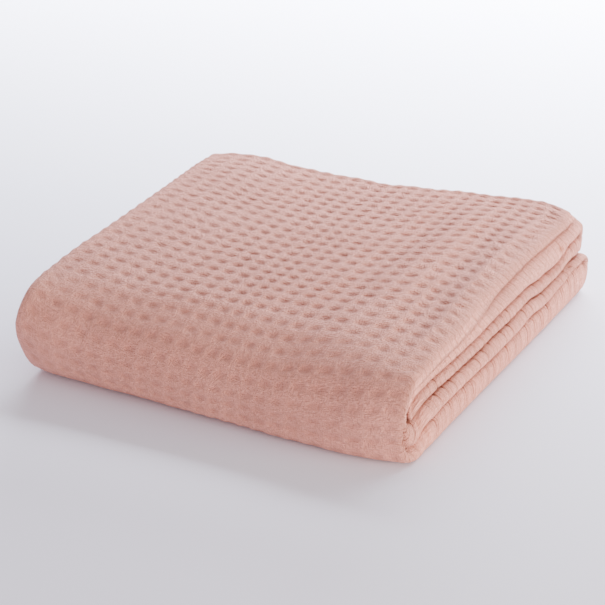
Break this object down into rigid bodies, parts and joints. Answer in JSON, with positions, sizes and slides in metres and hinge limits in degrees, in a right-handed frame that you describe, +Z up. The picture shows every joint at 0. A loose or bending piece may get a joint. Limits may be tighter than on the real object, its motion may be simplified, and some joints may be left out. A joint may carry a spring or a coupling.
{
  "type": "folded waffle weave cotton blanket",
  "caption": "Cotton blanket in waffle weave, folded to a soft square pack with rolled edges on one side and a smooth front fold, lying flat on a surface.",
  "frame": {"origin": "middle of the footprint of the folded pack, on the surface it lies on", "axes": "+Z up; the smooth front fold faces -Y and the rolled folded edges face +X"},
  "size_m": [0.4098, 0.4408, 0.0834],
  "materials": {
    "blanket": "matte peach pink cotton in waffle weave, with soft pits between thin raised ribs and a faint nap"
  },
  "bodies": {
    "root": {"blanket": "blanket"}
  },
  "joints": []
}
